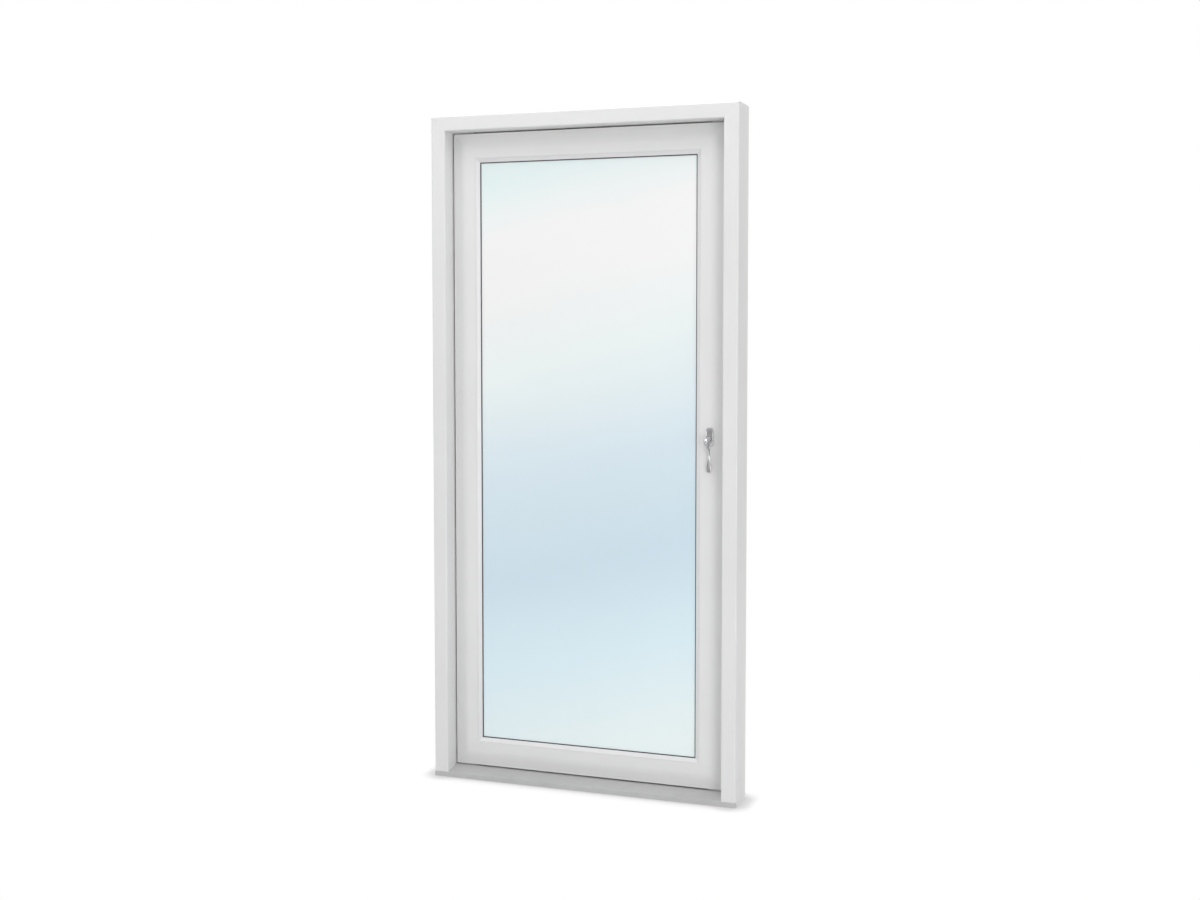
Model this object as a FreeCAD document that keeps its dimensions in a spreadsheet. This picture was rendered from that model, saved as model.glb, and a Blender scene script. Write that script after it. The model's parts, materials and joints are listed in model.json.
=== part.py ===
import FreeCAD, Part
import math
import os
import re
import Sketcher

# Outward-opening, side-hung, full-height casement of timber with an aluminium outer skin.
# X runs along the width, Y from the outside (-Y) to the inside (+Y), Z up from the underside.
# The origin is the middle of the frame's footprint: mid width, mid depth, underside of the sill.
#
# Sections are drawn with two coordinates: the distance inwards from an outer edge, and the depth
# behind the outside face of the frame.  Frame sections count from the frame's outer edge, and
# sash sections count from the edge of the sash's outer lip.

Vector = FreeCAD.Vector
doc = FreeCAD.newDocument("casement_window")

# ---------------------------------------------------------------- driving dimensions (mm)
SIZES = {
    # outer frame
    "frame_width": 990, "frame_height": 2090, "frame_depth": 118,
    "skin": 2, "skin_standoff": 13, "side_return": 78, "front_round": 4.5,
    "jamb_face": 46, "reveal_depth": 60, "stop_depth": 86, "stop_face": 68,
    # sill: height of the flat under the sash, and the nosing at the front
    "sill_flat": 27, "nosing_height": 15.6, "nosing_depth": 10, "sill_skin": 3,
    # sash sections
    "sash_gap": 4.5, "sash_face": 50, "lip_face": 60, "lip_width": 4, "slope_end": 38,
    "slope_round": 70, "slope_play": 0.3, "skin_back": 61.8,
    "timber_front": 62, "timber_edge": 7.5, "seal_back": 80, "sash_back": 108,
    "inner_edge": 21.5, "rebate_edge": 76, "skin_edge": 77.8,
    "seal_out": 13.3, "seal_in": 17, "seal_reach": 85.7,
    # glazing
    "bead_edge": 78.1, "bead_width": 12.4, "bead_fall": 7.3, "bead_leg": 1.9, "bead_foot": 61.5,
    "bead_front": 50.3, "bead_flat": 1.2, "bead_heel": 3, "bead_step": 54,
    "glass_edge": 81, "glass_front": 61, "pane": 4, "cavity": 12, "gasket_height": 1.8,
    "gasket_start": 82, "gasket_edge": 93.5, "tape_out": 83, "tape_in": 91, "glass_lip": 92, "lip_back": 99,
    "spacer_out": 86, "spacer_in": 92.5, "block_length": 100, "block_place": 240, "block_rise": 600,
    # pivot hinges on one vertical axis, from the frame's outer edge and its outside face
    "pivot_edge": 66.5, "pivot_depth": 68, "pin_radius": 3, "bush_bore": 3.05,
    "bush_radius": 4.5, "boss_radius": 4.8, "bush_length": 20, "flange": 1.5,
    "plate": 2.5, "sash_plate": 3, "plate_gap": 0.1, "pin_reach": 26,
    "plate_start": 48, "plate_end": 118, "plate_front": 64, "plate_back": 84, "leaf_end": 72,
    "plate_screw_near": 38, "plate_screw_far": 58, "leaf_screw_near": 34, "leaf_screw_far": 60,
    "pin_clearance": 2,
    # handle set
    "handle_edge": 97, "handle_height": 1100, "rose_height": 1106, "rose_width": 21.5,
    "rose_length": 58, "rose_thick": 8.5, "neck_radius": 8, "neck_fit": 8.06,
    "spindle": 8, "spindle_hole": 6.5, "spindle_start": 25, "spindle_end": 133,
    "clamp_top": 24, "clamp_bottom": 16, "clamp_radius": 2, "clamp_head": 3.2,
    "clamp_short": 3, "grub_radius": 2, "grub_out": 17, "grub_sink": 0.4,
    "neck_start": 0.4, "neck_end": 24.4,
    # gearbox and sliding rods
    "box_front": 64, "box_back": 78, "box_wall": 2, "box_edge": 14.2, "box_end": 72,
    "box_half": 72, "gear_module": 1.5, "gear_teeth": 16, "gear_play": 0.16,
    "gear_end_play": 0.2, "hub_radius": 9, "hub_fit": 9.06,
    "rack_body": 4.5, "rack_root": 0.5, "rack_play": 0.4, "rack_long": 26, "rack_short": 8,
    "rack_end": 2, "leg_start": 34, "leg_height": 10, "travel": 18.9,
    "rod_depth": 71, "rod_width": 8, "rod_thick": 3, "rod_edge": 9, "rod_stop": 24,
    "groove_width": 9, "groove_end": 14.5,
    "bolt_radius": 3, "bolt_place": 10.9, "bolt_length": 60, "bolt_rest": 4.5,
    "lock_place": 450, "lock_radius": 4, "lock_reach": 1,
    "face_strip": 2.5, "strip_front": 63.5, "strip_back": 78.5, "slot_play": 1, "slot_side": 0.4,
    "strip_end": 100, "strip_near": 85, "strip_far": 250, "slot_half": 2.5,
    # keeps on the frame
    "keep_plate": 2.5, "keep_front": 62.5, "keep_back": 84, "keep_lip": 3, "keep_reach": 4,
    "keep_gap": 3, "keep_height": 70, "keep_shift": 4, "lip_height": 26,
    "keep_screw_near": 16, "keep_screw_far": 46,
    "bolt_keep_edge": 100, "bolt_keep_length": 52, "bolt_screw_near": 74, "bolt_screw_far": 94,
    "bolt_hole": 4, "bolt_depth": 20,
    # fasteners
    "screw_radius": 2, "screw_head": 3.8, "screw_sink": 1.8, "screw_length": 18,
    "corner_radius": 3, "corner_length": 100, "corner_head": 6, "corner_sink": 6,
    "corner_near": 30, "corner_far": 50, "corner_drop": 24, "corner_rise": 11,
    "dowel_radius": 5, "dowel_length": 60, "dowel_place": 42, "dowel_near": 72, "dowel_far": 92,
}

dims = doc.addObject("Spreadsheet::Sheet", "dims")
for row, (alias, number) in enumerate(SIZES.items(), start=1):
    dims.set("A%d" % row, alias)
    dims.set("B%d" % row, str(number))
    dims.setAlias("B%d" % row, alias)
doc.recompute()


def bound(text):
    """The expression with each name of a size pointed at its cell in the sheet."""
    return re.sub(r"[a-z_]+", lambda word: "dims." + word[0] if word[0] in SIZES else word[0], text)


def value(text):
    """The number that an expression of sizes comes to now."""
    return float(dims.evalExpression(bound(text)))


# expressions that several sub-parts share
LEFT = "-frame_width / 2"
RIGHT = "frame_width / 2"
FRONT = "-frame_depth / 2"
LIP = "(jamb_face + sash_gap)"
DROP = "(jamb_face - sill_flat)"
SASH_LOW = "(sill_flat + sash_gap)"
SASH_HIGH = "(frame_height - jamb_face - sash_gap)"
SASH_WIDTH = "(frame_width - 2 * jamb_face - 2 * sash_gap)"
SASH_HEIGHT = "(frame_height - jamb_face - sill_flat - 2 * sash_gap)"
LOCK_EDGE = "(frame_width / 2 - jamb_face - sash_gap)"
SPINDLE_X = "(frame_width / 2 - handle_edge)"
PIVOT_X = "(pivot_edge - frame_width / 2)"
PITCH_RADIUS = "(gear_module * gear_teeth / 2)"
# lines of the screws in the plates on the frame and in the leaves on the sash
PLATE_LINE = "(%s + (plate_front + plate_back) / 2)" % FRONT
LEAF_LINE = "(%s + (timber_front + seal_back) / 2)" % FRONT

nodes = []


def keep_node(thing, name):
    """Name the finished sub-part; the label is also the name of its file."""
    thing.Label = name
    nodes.append(thing)
    return thing


# ---------------------------------------------------------------- building blocks
def place(thing, x="0", y="0", z="0", turn=None):
    """Bind the placement's base to expressions, with an optional fixed rotation (axis, degrees)."""
    if turn:
        thing.Placement.Rotation = FreeCAD.Rotation(Vector(*turn[0]), turn[1])
    thing.setExpression("Placement.Base.x", bound(x))
    thing.setExpression("Placement.Base.y", bound(y))
    thing.setExpression("Placement.Base.z", bound(z))
    return thing


def outline(sketch, points):
    """Closed polygon through points, each coordinate held by a constraint bound to the sheet."""
    first = len(sketch.Geometry)
    count = len(points)
    spots = [Vector(value(x), value(y), 0) for x, y in points]
    for i in range(count):
        sketch.addGeometry(Part.LineSegment(spots[i], spots[(i + 1) % count]), False)
    for i in range(count):
        following = first + (i + 1) % count
        sketch.addConstraint(Sketcher.Constraint("Coincident", first + i, 2, following, 1))
    for i, point in enumerate(points):
        for kind, text in zip(("DistanceX", "DistanceY"), point):
            rule = Sketcher.Constraint(kind, -1, 1, first + i, 1, value(text))
            sketch.setExpression("Constraints[%d]" % sketch.addConstraint(rule), bound(text))


def new_sketch(body, role, *outlines):
    """Sketch on one of the body's own origin planes, holding one or more closed outlines."""
    sketch = body.newObject("Sketcher::SketchObject", "sketch")
    plane = [part for part in body.Origin.OriginFeatures if part.Role == role][0]
    sketch.AttachmentSupport = [(plane, "")]
    sketch.MapMode = "FlatFace"
    for points in outlines:
        outline(sketch, points)
    doc.recompute()
    return sketch


def padded(name, role, outlines, length):
    """Body made of one pad of the given outlines."""
    body = doc.addObject("PartDesign::Body", name)
    pad = body.newObject("PartDesign::Pad", "pad")
    pad.Profile = new_sketch(body, role, *outlines)
    pad.setExpression("Length", bound(length))
    doc.recompute()
    return body


def pocketed(body, role, outlines):
    """Cut the outlines right through the body, both ways from the sketch plane."""
    before = body.Shape.Volume
    pocket = body.newObject("PartDesign::Pocket", "pocket")
    pocket.Profile = new_sketch(body, role, *outlines)
    pocket.Type = "ThroughAll"
    pocket.Midplane = True
    doc.recompute()
    if body.Shape.Volume >= before:
        raise RuntimeError("pocket cut nothing in " + body.Label)
    return body


def rounded(body, corners, radius):
    """Fillet the long edges that run along local Z through the given section corners."""
    spots = [(value(x), value(y)) for x, y in corners]
    names = []
    for i, edge in enumerate(body.Shape.Edges, start=1):
        ends = edge.Vertexes
        for x, y in spots:
            if all(math.hypot(end.X - x, end.Y - y) < 1e-4 for end in ends) and len(ends) == 2:
                names.append("Edge%d" % i)
    base = body.Tip
    fillet = body.newObject("PartDesign::Fillet", "rounding")
    fillet.Base = (base, names)
    fillet.setExpression("Radius", bound(radius))
    doc.recompute()
    return body


def flipped(points):
    """The same section, mirrored for the right-hand side."""
    return [("-(%s)" % x, y) for x, y in points]


def mitres(reach, length, both=True):
    """Triangles that cut the ends of a bar at 45 degrees, wider at its outer edge."""
    start = [("-1", "-1"), (reach, "-1"), (reach, reach)]
    end = [("-1", "%s + 1" % length), (reach, "%s + 1" % length), (reach, "%s - (%s)" % (length, reach))]
    return [start, end] if both else [end]


SIDE_TURN = {"top": ((0, 1, 0), 90), "bottom": ((0, 1, 0), -90)}


def set_side(thing, side, inset, low, high):
    """Put a bar on its side of a rectangle: inset from the frame's edges, from z low to z high."""
    if side == "left":
        place(thing, "%s + (%s)" % (LEFT, inset), FRONT, low)
    if side == "right":
        place(thing, "%s - (%s)" % (RIGHT, inset), FRONT, low)
    if side == "top":
        place(thing, "%s + (%s)" % (LEFT, inset), FRONT, high, SIDE_TURN[side])
    if side == "bottom":
        place(thing, "%s - (%s)" % (RIGHT, inset), FRONT, low, SIDE_TURN[side])
    return thing


def box(x, y, z, length, width, height):
    """Box from its lowest corner, every size an expression."""
    solid = doc.addObject("Part::Box", "box")
    solid.setExpression("Length", bound(length))
    solid.setExpression("Width", bound(width))
    solid.setExpression("Height", bound(height))
    return place(solid, x, y, z)


AXIS_TURN = {"x": ((0, 1, 0), 90), "y": ((1, 0, 0), -90), "z": None}


def cylinder(axis, x, y, z, radius, height):
    """Cylinder that starts at a point and runs along +X, +Y or +Z."""
    solid = doc.addObject("Part::Cylinder", "cylinder")
    solid.setExpression("Radius", bound(radius))
    solid.setExpression("Height", bound(height))
    return place(solid, x, y, z, AXIS_TURN[axis])


def fused(*things):
    """One solid from several."""
    union = doc.addObject("Part::MultiFuse", "union")
    union.Shapes = list(things)
    return union


def carved(base, *tools):
    """The base with every tool cut away."""
    cut = doc.addObject("Part::Cut", "cut")
    cut.Base = base
    cut.Tool = tools[0] if len(tools) == 1 else fused(*tools)
    doc.recompute()
    return cut


def group(*things):
    """Several separate solids in one sub-part."""
    bundle = doc.addObject("Part::Compound", "group")
    bundle.Links = list(things)
    return bundle


def ring(name, out, inner, front, thick):
    """Closed rectangular ring in the sash, between two insets from the sash's lip edge."""
    def rectangle(inset):
        left = "%s" % inset
        right = "%s - (%s)" % (SASH_WIDTH, inset)
        high = "%s - (%s)" % (SASH_HEIGHT, inset)
        return [(left, inset), (right, inset), (right, high), (left, high)]
    body = padded(name, "XZ_Plane", [rectangle(out), rectangle(inner)], thick)
    place(body, "%s + %s" % (LEFT, LIP), "%s + %s + %s" % (FRONT, front, thick), SASH_LOW)
    return body


def screw(spot, direction, length, shank, head, sink):
    """Countersunk screw: its head's face is at the spot, and it runs along the direction."""
    cone = Part.makeCone(head, shank, sink, spot, direction)
    stem = Part.makeCylinder(shank, length, spot, direction)
    return cone.fuse(stem).removeSplitter()


def screw_group(name, spots, length, shank, head, sink):
    """Sub-part of identical screws, each given as (x, y, z, direction)."""
    sizes = [value(text) for text in (length, shank, head, sink)]
    shapes = []
    for x, y, z, direction in spots:
        spot = Vector(value(x), value(y), value(z))
        shapes.append(screw(spot, Vector(*direction), *sizes))
    bundle = doc.addObject("Part::Feature", name)
    bundle.Shape = Part.makeCompound(shapes)
    bundle.Placement = FreeCAD.Placement()
    return bundle


# ---------------------------------------------------------------- fasteners, made first:
# their own shapes cut the holes they sit in
def hinge_screws(low_side):
    """Places of the screws in the pivot plates: two through the frame leaf, two through the sash."""
    frame_z = "sill_flat + plate" if low_side else "frame_height - jamb_face - plate"
    sash_z = "%s + timber_edge" % SASH_LOW if low_side else "%s - timber_edge" % SASH_HIGH
    out_way = (0, 0, -1) if low_side else (0, 0, 1)
    in_way = (0, 0, 1) if low_side else (0, 0, -1)
    frame = [("%s + plate_start + %s" % (LEFT, step), PLATE_LINE, frame_z, out_way)
             for step in ("plate_screw_near", "plate_screw_far")]
    sash = [("%s + %s + %s" % (LEFT, LIP, step), LEAF_LINE, sash_z, in_way)
            for step in ("leaf_screw_near", "leaf_screw_far")]
    return frame, sash


HINGE_HIGH = hinge_screws(False)
HINGE_LOW = hinge_screws(True)

UPPER_LOCK = "(handle_height + lock_place)"
LOWER_LOCK = "(handle_height - lock_place)"
KEEP_SCREW_PLACES = [UPPER_LOCK + " - keep_screw_near", UPPER_LOCK + " + keep_screw_far",
                     LOWER_LOCK + " + keep_screw_near", LOWER_LOCK + " - keep_screw_far"]
keep_spots = [("%s - jamb_face - keep_plate" % RIGHT, PLATE_LINE, z, (1, 0, 0))
              for z in KEEP_SCREW_PLACES]
for step in ("bolt_screw_near", "bolt_screw_far"):
    x = "%s - %s" % (RIGHT, step)
    keep_spots.append((x, "%s + rod_depth" % FRONT, "frame_height - jamb_face - keep_plate", (0, 0, 1)))
    keep_spots.append((x, "%s + rod_depth" % FRONT, "sill_flat + keep_plate", (0, 0, -1)))

frame_screws = screw_group("frame_hardware_screws", HINGE_HIGH[0] + HINGE_LOW[0] + keep_spots,
                           "screw_length", "screw_radius", "screw_head", "screw_sink")

STRIP_SCREWS_LOW = ["%s + strip_end" % SASH_LOW, "handle_height - strip_far",
                    "handle_height - strip_near"]
STRIP_SCREWS_HIGH = ["handle_height + strip_near", "handle_height + strip_far",
                     "%s - strip_end" % SASH_HIGH]
strip_spots = [("%s - timber_edge + face_strip" % LOCK_EDGE, "%s + rod_depth" % FRONT, z, (-1, 0, 0))
               for z in STRIP_SCREWS_LOW + STRIP_SCREWS_HIGH]
sash_screws = screw_group("sash_hardware_screws", HINGE_HIGH[1] + HINGE_LOW[1],
                          "screw_length", "screw_radius", "screw_head", "screw_sink")

corner_spots = []
for sign, edge in ((1, "%s + skin" % LEFT), (-1, "%s - skin" % RIGHT)):
    for depth in ("corner_near", "corner_far"):
        for z in ("frame_height - corner_drop", "corner_rise"):
            corner_spots.append((edge, "%s + %s" % (FRONT, depth), z, (sign, 0, 0)))
corner_screws = screw_group("frame_corner_screws", corner_spots, "corner_length",
                            "corner_radius", "corner_head", "corner_sink")


def sash_dowels():
    """Two dowels across each joint between a stile and a rail."""
    pins = []
    for start in ("%s + %s + rebate_edge - dowel_length / 2" % (LEFT, LIP),
                  "%s - %s - rebate_edge - dowel_length / 2" % (RIGHT, LIP)):
        for z in ("%s + dowel_place" % SASH_LOW, "%s - dowel_place" % SASH_HIGH):
            for depth in ("dowel_near", "dowel_far"):
                pins.append(cylinder("x", start, "%s + %s" % (FRONT, depth), z,
                                     "dowel_radius", "dowel_length"))
    return group(*pins)


dowels = sash_dowels()

# ---------------------------------------------------------------- outer frame, timber
JAMB_SECTION = [("skin", "skin_standoff"), ("jamb_face - skin", "skin_standoff"),
                ("jamb_face - skin", "reveal_depth"), ("jamb_face", "reveal_depth"),
                ("jamb_face", "stop_depth"), ("stop_face", "stop_depth"),
                ("stop_face", "frame_depth"), ("0", "frame_depth"), ("0", "side_return"),
                ("skin", "side_return")]
TOP_NOTCH = [("0", "frame_height - skin"), ("side_return", "frame_height - skin"),
             ("side_return", "frame_height + 1"), ("0", "frame_height + 1")]
SLOPE = "((sill_flat - nosing_height) / reveal_depth)"
SILL_SECTION = [("0", "skin_standoff"),
                ("nosing_height - sill_skin + skin_standoff * %s" % SLOPE, "skin_standoff"),
                ("sill_flat - sill_skin", "reveal_depth"), ("sill_flat - sill_skin", "stop_depth"),
                ("stop_face - %s" % DROP, "stop_depth"), ("stop_face - %s" % DROP, "frame_depth"),
                ("0", "frame_depth")]


def end_cuts(length, step, near, far):
    """Outlines (depth, length) that take a step off both ends of a bar between two depths."""
    cuts = []
    for start, stop in (("-1", step), ("%s - %s" % (length, step), "%s + 1" % length)):
        cuts.append([(near, start), (far, start), (far, stop), (near, stop)])
    return cuts


def cross_piece(name, section, side, inset, steps):
    """Head or sill timber, coped at its ends around the jambs by steps (step, from, to depth)."""
    length = "(frame_width - 2 * (%s))" % inset
    body = padded(name, "XY_Plane", [section], length)
    for step, near, far in steps:
        pocketed(body, "YZ_Plane", end_cuts(length, step, near, far))
    return set_side(body, side, inset, "0", "frame_height")


def jamb(side):
    """Jamb timber, rebated along its outer edge and its top for the returns of the skin."""
    turn = flipped if side == "right" else list
    body = padded("jamb_%s_bar" % side, "XY_Plane", [turn(JAMB_SECTION)], "frame_height")
    pocketed(body, "YZ_Plane", [TOP_NOTCH])
    return set_side(body, side, "0", "0", "frame_height")


jamb_left = jamb("left")
jamb_right = jamb("right")
head = cross_piece("head_bar", JAMB_SECTION, "top", "jamb_face - skin",
                   [("skin", "reveal_depth", "stop_depth"),
                    ("(stop_face - jamb_face + skin)", "stop_depth", "frame_depth + 1")])
sill = cross_piece("sill_bar", SILL_SECTION, "bottom", "jamb_face",
                   [("(stop_face - jamb_face)", "stop_depth", "frame_depth + 1")])

BOLT_X = "%s - bolt_place" % LOCK_EDGE
BOLT_Y = "%s + rod_depth" % FRONT
head_bolt_hole = cylinder("z", BOLT_X, BOLT_Y, "frame_height - jamb_face - keep_plate", "bolt_hole",
                          "keep_plate + bolt_depth")
sill_bolt_hole = cylinder("z", BOLT_X, BOLT_Y, "sill_flat - bolt_depth", "bolt_hole",
                          "keep_plate + bolt_depth")

keep_node(carved(jamb_left, corner_screws), "jamb_left")
keep_node(carved(jamb_right, corner_screws, frame_screws), "jamb_right")
keep_node(carved(head, corner_screws, frame_screws, head_bolt_hole), "head")
keep_node(carved(sill, corner_screws, frame_screws, sill_bolt_hole), "sill_timber")
keep_node(corner_screws, "frame_corner_screws")
keep_node(frame_screws, "frame_hardware_screws")

# ---------------------------------------------------------------- outer frame, aluminium skin
SKIN_SECTION = [("0", "side_return"), ("0", "0"), ("jamb_face", "0"), ("jamb_face", "reveal_depth"),
                ("jamb_face - skin", "reveal_depth"), ("jamb_face - skin", "skin"), ("skin", "skin"),
                ("skin", "side_return")]
ROUND_CORNERS = [("0", "0"), ("jamb_face", "0")]
NOSE_CUT = [("-1", "-1"), ("nosing_depth", "-1"),
            ("nosing_depth", "nosing_height + nosing_depth * %s" % SLOPE),
            ("-1", "nosing_height - %s" % SLOPE)]


def jamb_skin(side):
    """Jamb cover: rounded front, mitred under the head, cut to sit on the sloped nosing."""
    turn = flipped if side == "right" else list
    body = padded("jamb_skin_" + side, "XY_Plane", [turn(SKIN_SECTION)], "frame_height")
    rounded(body, turn(ROUND_CORNERS), "front_round")
    top = [turn(points) for points in mitres("jamb_face + 1", "frame_height", both=False)]
    pocketed(body, "XZ_Plane", top)
    pocketed(body, "YZ_Plane", [NOSE_CUT])
    body = set_side(body, side, "0", "0", "frame_height")
    return keep_node(carved(body, corner_screws), "jamb_cladding_" + side)


def head_skin():
    """Head cover, mitred at both ends."""
    body = padded("head_skin", "XY_Plane", [SKIN_SECTION], "frame_width")
    rounded(body, ROUND_CORNERS, "front_round")
    pocketed(body, "XZ_Plane", mitres("jamb_face + 1", "frame_width"))
    return keep_node(set_side(body, "top", "0", "0", "frame_height"), "head_cladding")


def threshold():
    """Sloped aluminium sill cover with a full-width nosing; behind it, it fits between the jambs."""
    section = [("0", "0"), ("0", "nosing_depth"), ("sill_skin", "nosing_depth"),
               ("sill_skin", "sill_skin"),
               ("nosing_height - sill_skin + sill_skin * %s" % SLOPE, "sill_skin"),
               ("sill_flat - sill_skin", "reveal_depth"), ("sill_flat - sill_skin", "stop_depth"),
               ("sill_flat", "stop_depth"), ("sill_flat", "reveal_depth"), ("nosing_height", "0")]
    body = padded("threshold_bar", "XY_Plane", [section], "frame_width")
    ends = []
    for start, stop in (("-1", "jamb_face"), ("frame_width - jamb_face", "frame_width + 1")):
        ends.append([("nosing_depth", start), ("frame_depth", start),
                     ("frame_depth", stop), ("nosing_depth", stop)])
    pocketed(body, "YZ_Plane", ends)
    set_side(body, "bottom", "0", "0", "frame_height")
    return keep_node(carved(body, frame_screws, sill_bolt_hole), "sill_threshold")


jamb_skin("left")
jamb_skin("right")
head_skin()
threshold()

# ---------------------------------------------------------------- keeps on the frame
KEEP_X = "%s - jamb_face - keep_plate" % RIGHT


def jamb_keep(lock_z, way):
    """Keep with a lip that the locking pin slides behind; way is +1 where the pin moves up."""
    reach = "(lock_radius + keep_gap)"
    if way > 0:
        plate_low = "%s - (keep_height - lip_height - %s) / 2 - keep_shift" % (lock_z, reach)
        lip_low = "%s + %s" % (lock_z, reach)
    else:
        plate_low = ("%s + (keep_height - lip_height - %s) / 2 + keep_shift - keep_height"
                     % (lock_z, reach))
        lip_low = "%s - %s - lip_height" % (lock_z, reach)
    plate = box(KEEP_X, "%s + keep_front" % FRONT, plate_low,
                "keep_plate", "keep_back - keep_front", "keep_height")
    lip = box("%s - keep_reach" % KEEP_X, "%s + keep_front" % FRONT, lip_low,
              "keep_reach", "keep_lip", "lip_height")
    return fused(plate, lip)


keeps = group(jamb_keep(UPPER_LOCK, 1), jamb_keep(LOWER_LOCK, -1))
keep_node(carved(keeps, frame_screws), "jamb_keeps")


def bolt_keep(z, name, hole):
    """Flat plate with a hole for the end bolt."""
    plate = box("%s - bolt_keep_edge" % RIGHT, "%s + plate_front" % FRONT, z, "bolt_keep_length",
                "plate_back - plate_front", "keep_plate")
    return keep_node(carved(plate, frame_screws, hole), name)


bolt_keep("frame_height - jamb_face - keep_plate", "head_keep", head_bolt_hole)
bolt_keep("sill_flat", "sill_keep", sill_bolt_hole)

# ---------------------------------------------------------------- pivot hinges
PIVOT_Y = "%s + pivot_depth" % FRONT
LEAF_LENGTH = "(leaf_end - timber_edge)"


def frame_pivot(low_side):
    """Leaf screwed to the head or sill, with a boss and a pin on the pivot axis."""
    name = "hinge_frame_bottom" if low_side else "hinge_frame_top"
    boss_height = "(sash_gap + timber_edge - plate - flange - plate_gap)"
    if low_side:
        leaf_z, boss_z, pin_z = "sill_flat", "sill_flat + plate", "sill_flat + plate"
    else:
        leaf_z = "frame_height - jamb_face - plate"
        boss_z = "%s - %s" % (leaf_z, boss_height)
        pin_z = "%s - pin_reach" % leaf_z
    leaf = box("%s + plate_start" % LEFT, "%s + plate_front" % FRONT, leaf_z,
               "plate_end - plate_start", "plate_back - plate_front", "plate")
    boss = cylinder("z", PIVOT_X, PIVOT_Y, boss_z, "boss_radius", boss_height)
    pin = cylinder("z", PIVOT_X, PIVOT_Y, pin_z, "pin_radius", "pin_reach")
    return keep_node(carved(fused(leaf, boss, pin), frame_screws), name)


def sash_leaf(low_side):
    """Leaf let into the end of the hinge stile, bored for the bush."""
    z = "%s + timber_edge" % SASH_LOW if low_side else "%s - timber_edge - sash_plate" % SASH_HIGH
    return box("%s + %s + timber_edge" % (LEFT, LIP), "%s + timber_front" % FRONT, z, LEAF_LENGTH,
               "seal_back - timber_front", "sash_plate")


def bush_solids(low_side, bore):
    """Flanged bush round the pin; the flange faces the frame's boss."""
    sash_z = "%s + timber_edge" % SASH_LOW if low_side else "%s - timber_edge" % SASH_HIGH
    body_z = sash_z if low_side else "%s - bush_length" % sash_z
    flange_z = "%s - flange" % sash_z if low_side else sash_z
    body = cylinder("z", PIVOT_X, PIVOT_Y, body_z, "bush_radius", "bush_length")
    rim = cylinder("z", PIVOT_X, PIVOT_Y, flange_z, "boss_radius", "flange")
    whole = fused(body, rim)
    if not bore:
        return whole
    start = "%s - flange - 1" % sash_z if low_side else "%s - bush_length - 1" % sash_z
    return carved(whole, cylinder("z", PIVOT_X, PIVOT_Y, start, "bush_bore", "bush_length + flange + 2"))


frame_pivot(True)
frame_pivot(False)
leaf_low = sash_leaf(True)
leaf_high = sash_leaf(False)
bush_low = bush_solids(True, False)
bush_high = bush_solids(False, False)
keep_node(carved(leaf_low, bush_low, sash_screws), "hinge_sash_bottom")
keep_node(carved(leaf_high, bush_high, sash_screws), "hinge_sash_top")
keep_node(group(bush_solids(True, True), bush_solids(False, True)), "hinge_bushes")

# ---------------------------------------------------------------- sash timber
SASH_SECTION = [("timber_edge", "timber_front"), ("rebate_edge", "timber_front"),
                ("rebate_edge", "lip_back"), ("glass_lip", "lip_back"), ("glass_lip", "sash_back"),
                ("inner_edge", "sash_back"), ("inner_edge", "seal_back"), ("timber_edge", "seal_back")]


def stile(side):
    """Full-height side member, stepped at its ends like its edges."""
    turn = flipped if side == "right" else list
    length = "(%s - 2 * timber_edge)" % SASH_HEIGHT
    step = "(inner_edge - timber_edge)"
    body = padded("stile_bar_" + side, "XY_Plane", [turn(SASH_SECTION)], length)
    pocketed(body, "YZ_Plane", end_cuts(length, step, "seal_back", "sash_back + 1"))
    return set_side(body, side, LIP, "%s + timber_edge" % SASH_LOW, SASH_HIGH)


def rail(side):
    """Top or bottom member between the stiles, coped over their glazing lips."""
    length = "(%s - 2 * rebate_edge)" % SASH_WIDTH
    step = "(glass_lip - rebate_edge)"
    body = padded("rail_bar_" + side, "XY_Plane", [SASH_SECTION], length)
    pocketed(body, "YZ_Plane", end_cuts(length, step, "lip_back", "sash_back + 1"))
    set_side(body, side, "%s + rebate_edge" % LIP, SASH_LOW, SASH_HIGH)
    return keep_node(carved(body, dowels), "sash_rail_" + side)


rail("top")
rail("bottom")
# the pin's hole is the bush's outside, and a blind clearance under it
PIN_HOLE = "(pin_reach + pin_clearance)"
pin_low = cylinder("z", PIVOT_X, PIVOT_Y, "%s + timber_edge" % SASH_LOW, "bush_bore", PIN_HOLE)
pin_high = cylinder("z", PIVOT_X, PIVOT_Y, "%s - timber_edge - %s" % (SASH_HIGH, PIN_HOLE), "bush_bore",
                    PIN_HOLE)
keep_node(carved(stile("left"), dowels, leaf_low, leaf_high, bush_low, bush_high, sash_screws,
                 pin_low, pin_high), "sash_stile_left")

# ---------------------------------------------------------------- lock stile and what is let into it
SPINDLE_Z = "handle_height"
STRIP_X = "%s - timber_edge" % LOCK_EDGE
STRIP_LOW = "%s + timber_edge" % SASH_LOW
STRIP_LENGTH = "(%s - 2 * timber_edge)" % SASH_HEIGHT

rod_groove = box("%s - groove_end" % LOCK_EDGE, "%s + rod_depth - groove_width / 2" % FRONT, STRIP_LOW,
                 "groove_end - timber_edge", "groove_width", STRIP_LENGTH)
box_mortise = box("%s - box_end" % LOCK_EDGE, "%s + box_front" % FRONT, "handle_height - box_half",
                  "box_end - timber_edge", "box_back - box_front", "2 * box_half")
spindle_hole = cylinder("y", SPINDLE_X, FRONT, SPINDLE_Z, "spindle_hole", "frame_depth")


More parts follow.
